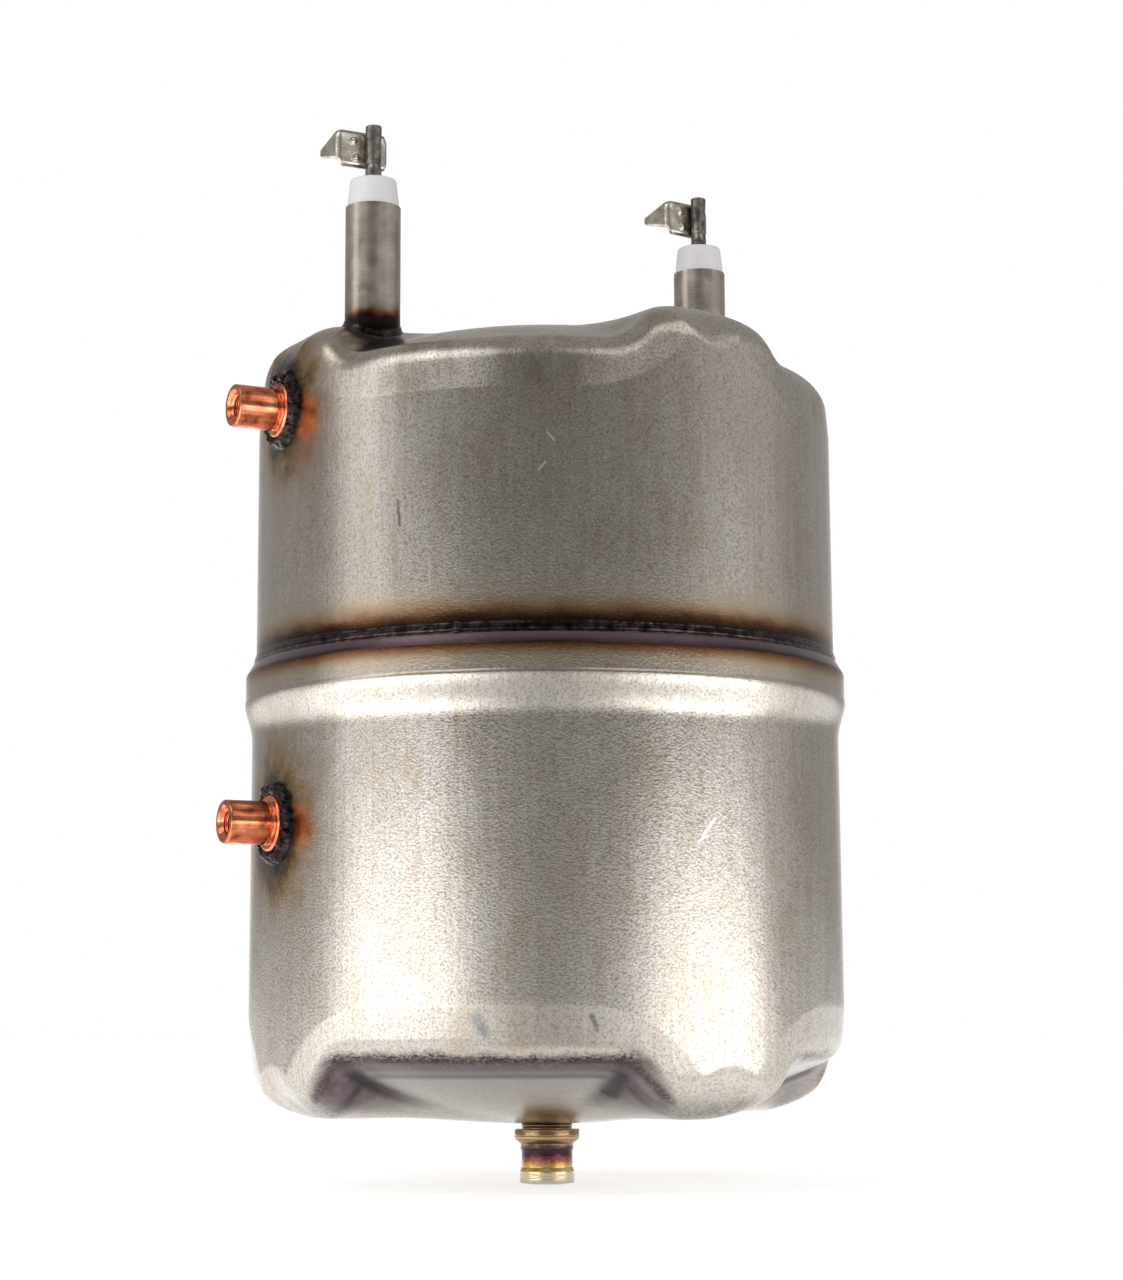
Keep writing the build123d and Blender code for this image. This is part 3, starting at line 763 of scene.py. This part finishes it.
def recess_soot_and_shade(g, colour, patch, outward, recess, height, flank):
    """The lower recesses: soot mixed with painted shade. Their roofs are painted darker towards the
    rim, soot and painted shade lie under the folds and on the flanks, painted shade makes dark
    lines in the folds, along the flank edges and round the soles, and painted shadows lie where the
    dish meets the flanks, round its rim and in a spot by a foot's root.
    """
    roofed = g.times(recess, g.span(height, 9.2, 8.3))
    # Painted shade: the roofs of the recesses are darkened towards their rim.
    painted_roof_shade = g.times(roofed, g.span(outward, 22.0, 37.0, 0.0, 0.6))
    colour = g.mix(painted_roof_shade, colour, (0.27, 0.25, 0.24))

    # Soot mixed with painted shade under the folds and on the flanks, strongest in the front
    # recess.
    front = g.math("DIVIDE", g.vector("DOT_PRODUCT", g.place, FRONT_RECESS), outward)
    front = g.span(front, 0.66, 0.75, 0.25, 1.0)
    flank_soot_and_shade = g.times(g.span(flank, 3.0, 1.0), g.span(outward, 26.0, 36.0))
    under = g.higher(g.span(outward, 37.5, 41.0), flank_soot_and_shade)
    soot = g.ramp(
        patch,
        [(0.3, (0.05, 0.028, 0.038)), (0.5, (0.11, 0.07, 0.085)), (0.7, (0.24, 0.19, 0.2))],
    )
    colour = g.mix(g.times(roofed, under, front, 0.88), colour, soot)

    # Painted shade: dark lines in the folds, along the flank edges and round the soles, broken into
    # specks, with scuffs at the soles.
    level = g.plus(height, g.swing(patch, 3.0))
    beside = g.times(flank, FLANK_SHARE)
    edge = g.absolute(g.minus(g.minus(outward, LOWER_RADIUS - 1.2), beside))
    edge = g.times(
        g.span(edge, 1.5, 0.4), g.span(g.absolute(flank), 2.6, 1.4), g.span(height, 9.0, 7.5)
    )
    fold_shade = g.times(recess, g.span(level, 10.0, 9.0), g.span(level, 6.8, 8.2))
    sole = g.times(g.span(level, 3.2, 0.8), g.span(outward, 36.0, 38.0))
    painted_shade_lines = g.higher(fold_shade, g.times(g.higher(edge, sole), 0.8))
    specks = g.span(g.noise(0.3, 4.0, (2, 2, 1), 21.0, 0.75), 0.4, 0.56, 0.3, 1.0)
    colour = g.mix(g.times(painted_shade_lines, specks), colour, (0.045, 0.036, 0.036))

    # Painted shadows where the dish meets the flanks, round the dish's rim in the front recess and
    # in a spot by a foot's root.
    dish = g.vector("DISTANCE", g.place, (0, 0, FEET_Z - LOWER_DROP + CROWN_RADIUS))
    root = g.absolute(g.minus(g.minus(dish, CROWN_RADIUS), beside))
    root = g.times(
        g.span(root, 1.5, 0.5), g.span(outward, 24.0, 37.0), g.span(outward, 43.0, 41.0), 0.9
    )
    rim = g.span(g.absolute(g.minus(outward, RIM_RADIUS)), 1.4, 0.2, 0.0, 0.6)
    hole = g.span(g.vector("DISTANCE", g.place, HOLE_SHADOW_PLACE), 2.1, 1.3)
    dark = g.higher(g.higher(root, hole), g.times(rim, recess, front))
    return g.mix(dark, colour, (0.022, 0.018, 0.02))


# Each mark runs from one azimuth and height to another: then its width and its tone.
MARKS = {
    "upper": [
        (0.6, 97.0, 1.9, 95.8, 0.2, 0.9),
        (-1.0, 91.5, 0.2, 92.6, 0.2, 0.85),
        (-2.4, 66.9, -1.0, 66.2, 0.25, 0.9),
        (-28.0, 88.0, -27.6, 84.4, 0.3, 0.16),
    ],
    "lower": [
        (29.2, 39.6, 32.0, 42.2, 0.26, 0.95),
        (28.4, 38.8, 30.2, 39.7, 0.2, 0.9),
        (-3.2, 10.6, -1.6, 12.0, 0.3, 0.95),
        (-3.9, 10.9, -3.0, 11.6, 0.25, 0.9),
        (-12.4, 14.2, -11.6, 13.0, 1.3, 0.3),
        (-11.4, 12.8, -10.6, 12.0, 0.9, 0.26),
        (8.0, 14.5, 8.8, 12.8, 0.6, 0.2),
    ],
}


def steel_shell(name, upper):
    """Deep-drawn sheet with orange-peel grain, draw lines, stains, scratches and heat tint. The
    lower shell also gets soot and painted shade in its recesses.
    """
    g = Graph(name)
    x, y, z = g.parts(g.place)
    cloud = g.noise(14.0, 4.0, (1, 1, 1.5), 2.0, 0.55)
    patch = g.noise(5.0, 4.0, (1, 1, 2.2), 12.0, 0.6)
    streak = g.noise(0.9, 3.0, (1, 1, 30), 5.0)
    grain = g.noise(0.38, 3.0, (1, 1, 1), 9.0, 0.8)
    colour = g.mix(g.span(cloud, 0.3, 0.7), (0.52, 0.48, 0.43), (0.57, 0.55, 0.515))
    colour = g.mix(g.span(streak, 0.4, 0.7, 0.0, 0.35), colour, (0.4, 0.36, 0.31))
    colour = g.mix(g.span(patch, 0.5, 0.72, 0.0, 0.45), colour, (0.43, 0.36, 0.25))
    colour = g.mix(g.span(grain, 0.5, 0.6, 0.0, 0.55), colour, (0.22, 0.18, 0.15))

    # Dirt in the pressed recesses, and soot and painted shade in the lower ones
    recess, height, flank = recess_share(g, TOP_Z if upper else FEET_Z, upper)
    if upper:
        level = g.plus(height, g.swing(patch, 3.0))
        inside = g.times(recess, g.span(level, 15.5, 14.0), g.span(patch, 0.46, 0.66, 0.0, 0.5))
        colour = g.mix(inside, colour, (0.27, 0.24, 0.2))
    else:
        outward = g.vector("LENGTH", g.join(x, y, 0.0))
        colour = recess_soot_and_shade(g, colour, patch, outward, recess, height, flank)

    # Heat tint beside the girth weld
    ragged = g.swing(g.noise(5.0, 4.0, (1, 1, 0.5), 3.0), 1.6)
    gritty = g.swing(grain, 1.6)
    if upper:
        away = g.plus(g.minus(z, BEAD_TOP_Z), g.plus(ragged, gritty))
        tint = g.ramp(
            g.math("DIVIDE", away, 9.0, clamp=True),
            [(0.0, (0.03, 0.016, 0.01)), (0.07, (0.075, 0.036, 0.018)), (0.15, (0.2, 0.105, 0.05)),
             (0.27, (0.38, 0.25, 0.14)), (0.42, (0.48, 0.39, 0.28)), (1.0, (0.54, 0.5, 0.45))],
        )
        share = g.span(away, 1.0, 7.0, 1.0, 0.0)
    else:
        away = g.plus(g.minus(LIP_Z - LIP_SLOPE, z), g.times(ragged, 0.4))
        away = g.plus(away, g.times(gritty, 0.5))
        tint = g.ramp(
            g.math("DIVIDE", g.plus(away, 1.6), 8.0, clamp=True),
            [(0.0, (0.2, 0.155, 0.165)), (0.12, (0.14, 0.1, 0.115)), (0.2, (0.05, 0.026, 0.025)),
             (0.29, (0.24, 0.12, 0.05)), (0.46, (0.45, 0.36, 0.25)), (1.0, (0.52, 0.49, 0.45))],
        )
        share = g.span(away, 1.0, 5.5, 1.0, 0.0)
    colour = g.mix(share, colour, tint)

    # Heat tint and soot round a stud, drawn out up and down the wall
    side = "upper" if upper else "lower"
    wall = WALL_RADII[side]
    c, s = math.cos(STUD_AZIMUTH), math.sin(STUD_AZIMUTH)
    centre = (wall * c, wall * s, STUD_HEIGHTS[side] + (1.0 if upper else -0.6))
    away = g.vector("MULTIPLY", g.vector("SUBTRACT", g.place, centre), (1, 1, 0.9))
    ragged = g.swing(g.noise(4.0, 5.0, seed=4.0, rough=0.65), 11.0)
    away = g.plus(g.vector("LENGTH", away), ragged)
    tint = g.ramp(
        g.math("DIVIDE", away, 20.0, clamp=True),
        [(0.0, (0.012, 0.009, 0.008)), (0.23, (0.02, 0.014, 0.01)), (0.32, (0.08, 0.047, 0.024)),
         (0.39, (0.22, 0.145, 0.07)), (0.48, (0.34, 0.24, 0.13)), (0.62, (0.4, 0.33, 0.25)),
         (0.8, (0.47, 0.42, 0.36)), (1.0, (0.5, 0.47, 0.42))],
    )
    colour = g.mix(g.span(away, 9.0, 18.0, 1.0, 0.0), colour, tint)
    if upper:
        glow = g.vector("DISTANCE", g.place, wall_point(wall, -52.5, STUD_HEIGHTS[side] - 8.0))
        glow = g.plus(glow, g.times(ragged, 0.4))
        colour = g.mix(g.span(glow, 0.6, 4.4, 0.45, 0.0), colour, (0.45, 0.19, 0.11))

    # Scratches and knocks
    for azimuth, level, azimuth_2, level_2, width, shade in MARKS[side]:
        start = wall_point(wall, azimuth, FEET_Z + level)
        end = wall_point(wall, azimuth_2, FEET_Z + level_2)
        share = g.times(mark(g, start, end, width), g.span(grain, 0.36, 0.5, 0.35, 1.0))
        colour = g.mix(share, colour, (shade,) * 3)

    grain_bump = g.bump(grain, 0.03)
    line_bump = g.bump(streak, 0.02, grain_bump)
    normal = g.bump(g.noise(3.0, 2.0, (1, 1, 2), 1.0), 0.03, line_bump)
    roughness = g.span(cloud, 0.25, 0.75, 0.15, 0.22)
    return g.finish(colour, roughness, normal, metallic=1.0)


def weld_metal():
    """Burnt bead: near black, half glossy, with a little brown and violet in it."""
    g = Graph("weld_metal")
    hue = g.noise(1.2, 2.0, seed=2.0)
    colour = g.ramp(
        hue,
        [(0.3, (0.006, 0.005, 0.006)), (0.5, (0.024, 0.018, 0.017)), (0.64, (0.06, 0.043, 0.045)),
         (0.75, (0.016, 0.016, 0.026))],
    )
    normal = g.bump(g.noise(0.35, 2.0, seed=6.0), 0.05)
    return g.finish(colour, g.span(hue, 0.3, 0.7, 0.08, 0.22), normal, metallic=1.0)


def copper():
    """Bright copper coat with darker stains."""
    g = Graph("copper_coat")
    stain = g.noise(1.8, 3.0, seed=3.0)
    colour = g.ramp(
        stain,
        [(0.32, (0.3, 0.07, 0.035)), (0.48, (0.68, 0.2, 0.095)), (0.7, (0.9, 0.34, 0.18))],
    )
    normal = g.bump(g.noise(0.25, 2.0, seed=8.0), 0.008)
    return g.finish(colour, g.span(stain, 0.3, 0.7, 0.2, 0.11), normal, metallic=1.0)


def port_steel():
    """Turned stainless whose waist ran through straw, purple and blue in the weld's heat."""
    g = Graph("port_steel")
    level = g.plus(g.parts(g.place)[2], g.swing(g.noise(1.6, 2.0, seed=7.0), 1.6))
    colour = g.ramp(
        g.math("DIVIDE", level, 10.0, clamp=True),
        [(0.0, (0.62, 0.58, 0.48)), (0.17, (0.6, 0.5, 0.3)), (0.25, (0.55, 0.33, 0.08)),
         (0.34, (0.22, 0.07, 0.06)), (0.44, (0.035, 0.015, 0.03)), (0.55, (0.08, 0.05, 0.045)),
         (0.64, (0.45, 0.3, 0.17)), (1.0, (0.1, 0.07, 0.06))],
    )
    normal = g.bump(g.noise(0.25, 1.0, (6, 6, 1), 4.0), 0.015)
    return g.finish(colour, 0.18, normal, metallic=1.0)


def sheath_steel():
    """Drawn tube with fine rings round it, browned where it was brazed in."""
    g = Graph("sheath_steel")
    rings = g.noise(0.3, 2.0, (14, 14, 1), 2.0)
    cloud = g.noise(3.0, 3.0, seed=5.0)
    colour = g.mix(g.span(cloud, 0.3, 0.7), (0.37, 0.325, 0.28), (0.52, 0.475, 0.42))
    colour = g.mix(g.span(rings, 0.35, 0.65, 0.0, 0.15), colour, (0.16, 0.145, 0.13))
    above = g.plus(g.minus(g.parts(g.place)[2], TOP_Z), g.times(cloud, 2.0))
    tint = g.ramp(
        g.math("DIVIDE", above, 6.0, clamp=True),
        [(0.0, (0.01, 0.008, 0.008)), (0.28, (0.03, 0.018, 0.015)), (0.4, (0.16, 0.08, 0.04)),
         (0.52, (0.26, 0.18, 0.13)), (1.0, (0.3, 0.275, 0.25))],
    )
    colour = g.mix(g.span(above, 2.4, 4.5, 1.0, 0.0), colour, tint)
    normal = g.bump(rings, 0.007)
    return g.finish(colour, g.span(cloud, 0.3, 0.7, 0.24, 0.34), normal, metallic=1.0)


def ceramic():
    """White fired steatite."""
    g = Graph("ceramic")
    cloud = g.noise(2.5, 2.0, seed=1.0)
    colour = g.mix(g.span(cloud, 0.35, 0.7), (0.94, 0.94, 0.96), (0.9, 0.9, 0.93))
    normal = g.bump(g.noise(0.3, 1.0, seed=2.0), 0.006)
    return g.finish(colour, 0.35, normal, coat_weight=0.2, coat_roughness=0.15)


def pin_steel():
    """Dark drawn rod."""
    g = Graph("pin_steel")
    cloud = g.noise(1.2, 3.0, seed=3.0)
    colour = g.ramp(
        cloud,
        [(0.3, (0.07, 0.06, 0.055)), (0.5, (0.2, 0.18, 0.17)), (0.7, (0.34, 0.31, 0.28))],
    )
    normal = g.bump(g.noise(0.3, 2.0, seed=4.0), 0.03)
    return g.finish(colour, g.span(cloud, 0.3, 0.7, 0.4, 0.26), normal, metallic=1.0)


def nickel_plate():
    """Plated strip, satin, a little stained."""
    g = Graph("nickel_plate")
    cloud = g.noise(1.5, 3.0, seed=6.0)
    colour = g.ramp(
        cloud,
        [(0.3, (0.36, 0.32, 0.26)), (0.5, (0.55, 0.51, 0.44)), (0.7, (0.7, 0.67, 0.6))],
    )
    normal = g.bump(g.noise(0.4, 2.0, seed=7.0), 0.02)
    return g.finish(colour, g.span(cloud, 0.3, 0.7, 0.32, 0.2), normal, metallic=1.0)


def plain_powder(name, low, high, roughness, metallic=0.0):
    """A quiet finish for the pieces inside: two tones in fine noise."""
    g = Graph(name)
    colour = g.mix(g.span(g.noise(0.8, 3.0, seed=5.0), 0.35, 0.65), low, high)
    return g.finish(colour, roughness, g.bump(g.noise(0.3, 2.0), 0.02), metallic=metallic)


# Pieces

weld = weld_metal()
steel_upper = steel_shell("drawn_steel_upper", True)
steel_lower = steel_shell("drawn_steel_lower", False)
fitting, copper_coat, tube = port_steel(), copper(), sheath_steel()
bush, pin, nickel = ceramic(), pin_steel(), nickel_plate()

lower_shell(steel_lower)
upper_shell(steel_upper)
girth_weld(weld)
for side in ("upper", "lower"):
    sensor_stud(side, copper_coat)
    stud_bead(side, weld)
inlet_port(fitting)
outlet_port(fitting)
profile = ((-0.1, -1.2), (1.1, -0.8), (0.85, -0.05), (0.4, 0.6), (-0.1, 0.8))
profile = [(OUTLET_RADIUS + out, TOP_Z + UPPER_DROP + rise) for out, rise in profile]
plain_bead("outlet_bead", profile, weld, "outlet_weld", 2.0)
for side, leg in (("left", -LEG_RADIUS), ("right", LEG_RADIUS)):
    leg_bead(side, leg, weld)
    ceramic_bush(side, leg, bush)
    terminal_pin(side, leg, TAB_TURNS[side], pin)
    tab_terminal(side, leg, nickel)
    tab_nuggets(side, leg, nickel)

powder = plain_powder("packed_powder", (0.8, 0.79, 0.75), (0.88, 0.87, 0.84), 0.9)
alloy = plain_powder("resistance_alloy", (0.2, 0.19, 0.19), (0.34, 0.33, 0.32), 0.5, 1.0)
seal = plain_powder("seal", (0.66, 0.63, 0.56), (0.74, 0.72, 0.66), 0.6)
carried_over = {
    "element_sheath": tube,
    "inlet_weld": weld,
    "element_insulation": powder,
    "resistance_winding": alloy,
    "left_end_seal": seal,
    "right_end_seal": seal,
}
for name, material in carried_over.items():
    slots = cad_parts[name].data.materials
    slots.clear()
    slots.append(material)


# Stage


def panel(name, azimuth, height, distance, size, radiance, aim_height=0.05):
    """A soft box that faces the tank's axis. Its azimuth counts to the right from the camera."""
    data = bpy.data.lights.new(name, "AREA")
    data.shape, data.size, data.size_y = "RECTANGLE", size[0], size[1]
    data.energy = radiance * size[0] * size[1] * math.pi
    light = bpy.data.objects.new(name, data)
    bpy.context.scene.collection.objects.link(light)
    turn = math.radians(azimuth) + VIEW_TURN - math.pi / 2
    light.location = (distance * math.cos(turn), distance * math.sin(turn), height)
    aim = Vector((0, 0, aim_height)) - light.location
    light.rotation_euler = aim.to_track_quat("-Z", "Y").to_euler()


# Lengths are in metres here. On each side one box lies nearly flat on the table, and a low bright
# one, a dimmer one and a tall one stand behind it. Two large ones hang high in front, and one more
# is above on the left.
panel("left_table", -56, 0.034, 0.33, (0.34, 0.28), 0.8, 1.5)
panel("right_table", 57, 0.034, 0.33, (0.3, 0.28), 1.0, 1.5)
panel("left_low", -54, 0.03, 0.5, (0.46, 0.06), 2.0)
panel("left_middle", -62, 0.12, 0.51, (0.44, 0.1), 0.52)
panel("left_tall", -73, 0.27, 0.54, (0.24, 0.2), 0.9)
panel("right_low", 62, 0.028, 0.5, (0.42, 0.056), 2.0)
panel("right_middle", 80, 0.12, 0.51, (0.46, 0.1), 0.26)
panel("right_tall", 82, 0.27, 0.54, (0.4, 0.2), 0.18)
panel("left_high", -50, 0.52, 0.52, (0.6, 0.36), 1.05, 0.16)
panel("right_high", 46, 0.52, 0.52, (0.6, 0.36), 0.7, 0.16)
panel("above", -60, 0.75, 0.6, (0.5, 0.4), 0.55)

TO_CAMERA = (math.sin(VIEW_TURN), -math.cos(VIEW_TURN), 0.0)
TO_RIGHT = (math.cos(VIEW_TURN), math.sin(VIEW_TURN), 0.0)
FLOOR_REACH = 30.0
FLOOR_Z = -0.0002


def background_glow(g, seen, mirrored):
    """One glow for rays straight from the camera, and one for rays off metal or through glass."""
    path = g.tree.nodes.new("ShaderNodeLightPath").outputs
    off_metal = g.higher(path["Is Glossy Ray"], path["Is Transmission Ray"])
    return g.higher(g.times(path["Is Camera Ray"], seen), g.times(off_metal, mirrored))


def make_floor():
    """A pale table. It is shown lighter than it lights the tank, and keeps the tank's shadow."""
    mesh = bpy.data.meshes.new("floor")
    corners = ((-1, -1), (1, -1), (1, 1), (-1, 1))
    corners = [(FLOOR_REACH * x, FLOOR_REACH * y, FLOOR_Z) for x, y in corners]
    mesh.from_pydata(corners, [], [(0, 1, 2, 3)])
    floor = bpy.data.objects.new("floor", mesh)
    bpy.context.scene.collection.objects.link(floor)
    g = Graph("floor")
    forward = g.vector("DOT_PRODUCT", g.place, TO_CAMERA)
    rightward = g.vector("DOT_PRODUCT", g.place, TO_RIGHT)
    sideways = g.absolute(rightward)
    seen = g.span(sideways, 80.0, 140.0, 0.62, 1.0)
    # The table in front of the tank is dimmer in the metal, far off and in a smaller field near it.
    far = g.times(g.span(forward, 60.0, 160.0), g.span(sideways, 160.0, 90.0), 0.66)
    near = g.span(g.absolute(g.minus(rightward, 5.0)), 46.0, 12.0, 0.0, 0.55)
    near = g.times(g.span(forward, 56.0, 74.0), near)
    mirrored = g.minus(g.span(sideways, 20.0, 45.0, 0.75, 1.0), g.higher(far, near))
    # The tank shades the table under it in its own reflections too, and the far right is dimmer.
    shaded = g.span(g.vector("LENGTH", g.place), 10.0, 56.0, 0.6, 1.0)
    shaded = g.times(shaded, g.span(rightward, 50.0, 90.0, 1.0, 0.75))
    glow = background_glow(g, seen, g.times(mirrored, shaded))
    g.feed(g.shader.inputs["Emission Strength"], glow)
    g.shader.inputs["Emission Color"].default_value = (1, 1, 1, 1)
    g.finish(g.mix(g.span(g.noise(400.0, 2.0), 0.3, 0.7), (0.9, 0.9, 0.9), (0.88, 0.88, 0.88)), 0.9)
    mesh.materials.append(g.material)


make_floor()

# The room is white to the camera. In the metal its backdrop behind the tank is white, the rest is
# dimmer and a little warm, and it is dimmest behind the camera.
ROOM_SIDES = 0.42
ROOM_BEFORE = 0.24
ROOM_HUE = (1.0, 0.955, 0.925)
BACKDROP_EDGES = (0.93, 0.97)  # cosines of the angles within which the backdrop is seen
world = bpy.data.worlds.new("studio")
bpy.context.scene.world = world
world.use_nodes = True
background = world.node_tree.nodes["Background"]
w = Nodes(world.node_tree)
towards_camera = w.vector("DOT_PRODUCT", w.source("ShaderNodeTexCoord", "Generated"), TO_CAMERA)
room = w.span(towards_camera, 0.3, 0.95, ROOM_SIDES, ROOM_BEFORE)
backdrop = w.span(towards_camera, -BACKDROP_EDGES[1], -BACKDROP_EDGES[0], 1 - ROOM_SIDES, 0.0)
from_camera = w.source("ShaderNodeLightPath", "Is Camera Ray")
w.feed(background.inputs["Color"], w.mix(from_camera, ROOM_HUE, (1.0, 1.0, 1.0)))
w.feed(background.inputs["Strength"], w.higher(from_camera, w.plus(room, backdrop)))

# The photograph's camera: its place is measured from the tank's axis and its lower feet.
CAMERA_DISTANCE = 451.7
CAMERA_HEIGHT = 11.62
CAMERA_PITCH = math.radians(10.116)
CAMERA_ROLL = math.radians(0.25)
FOCAL_PIXELS = 2901.2
PHOTO_WIDTH, PHOTO_HEIGHT = 1123, 1280
AXIS_PIXEL = (544.3, 520.0)

camera_data = bpy.data.cameras.new("camera")
camera = bpy.data.objects.new("camera", camera_data)
bpy.context.scene.collection.objects.link(camera)
bpy.context.scene.camera = camera
camera_data.sensor_width = 36.0
camera_data.lens = FOCAL_PIXELS / PHOTO_HEIGHT * camera_data.sensor_width
camera_data.shift_x = (PHOTO_WIDTH / 2 - AXIS_PIXEL[0]) / PHOTO_HEIGHT
camera_data.shift_y = (AXIS_PIXEL[1] - PHOTO_HEIGHT / 2) / PHOTO_HEIGHT
camera_data.clip_start, camera_data.clip_end = 0.01, 100
turned = Matrix.Rotation(VIEW_TURN, 4, "Z")
at = turned @ Vector((0, -CAMERA_DISTANCE * MM, 0))
camera.location = (at.x, at.y, (FEET_Z + CAMERA_HEIGHT) * MM)
aimed = turned @ Euler((math.pi / 2 + CAMERA_PITCH, 0, 0)).to_matrix().to_4x4()
camera.rotation_euler = (aimed @ Matrix.Rotation(-CAMERA_ROLL, 4, "Z")).to_euler()

bpy.context.scene.view_settings.view_transform = "Standard"
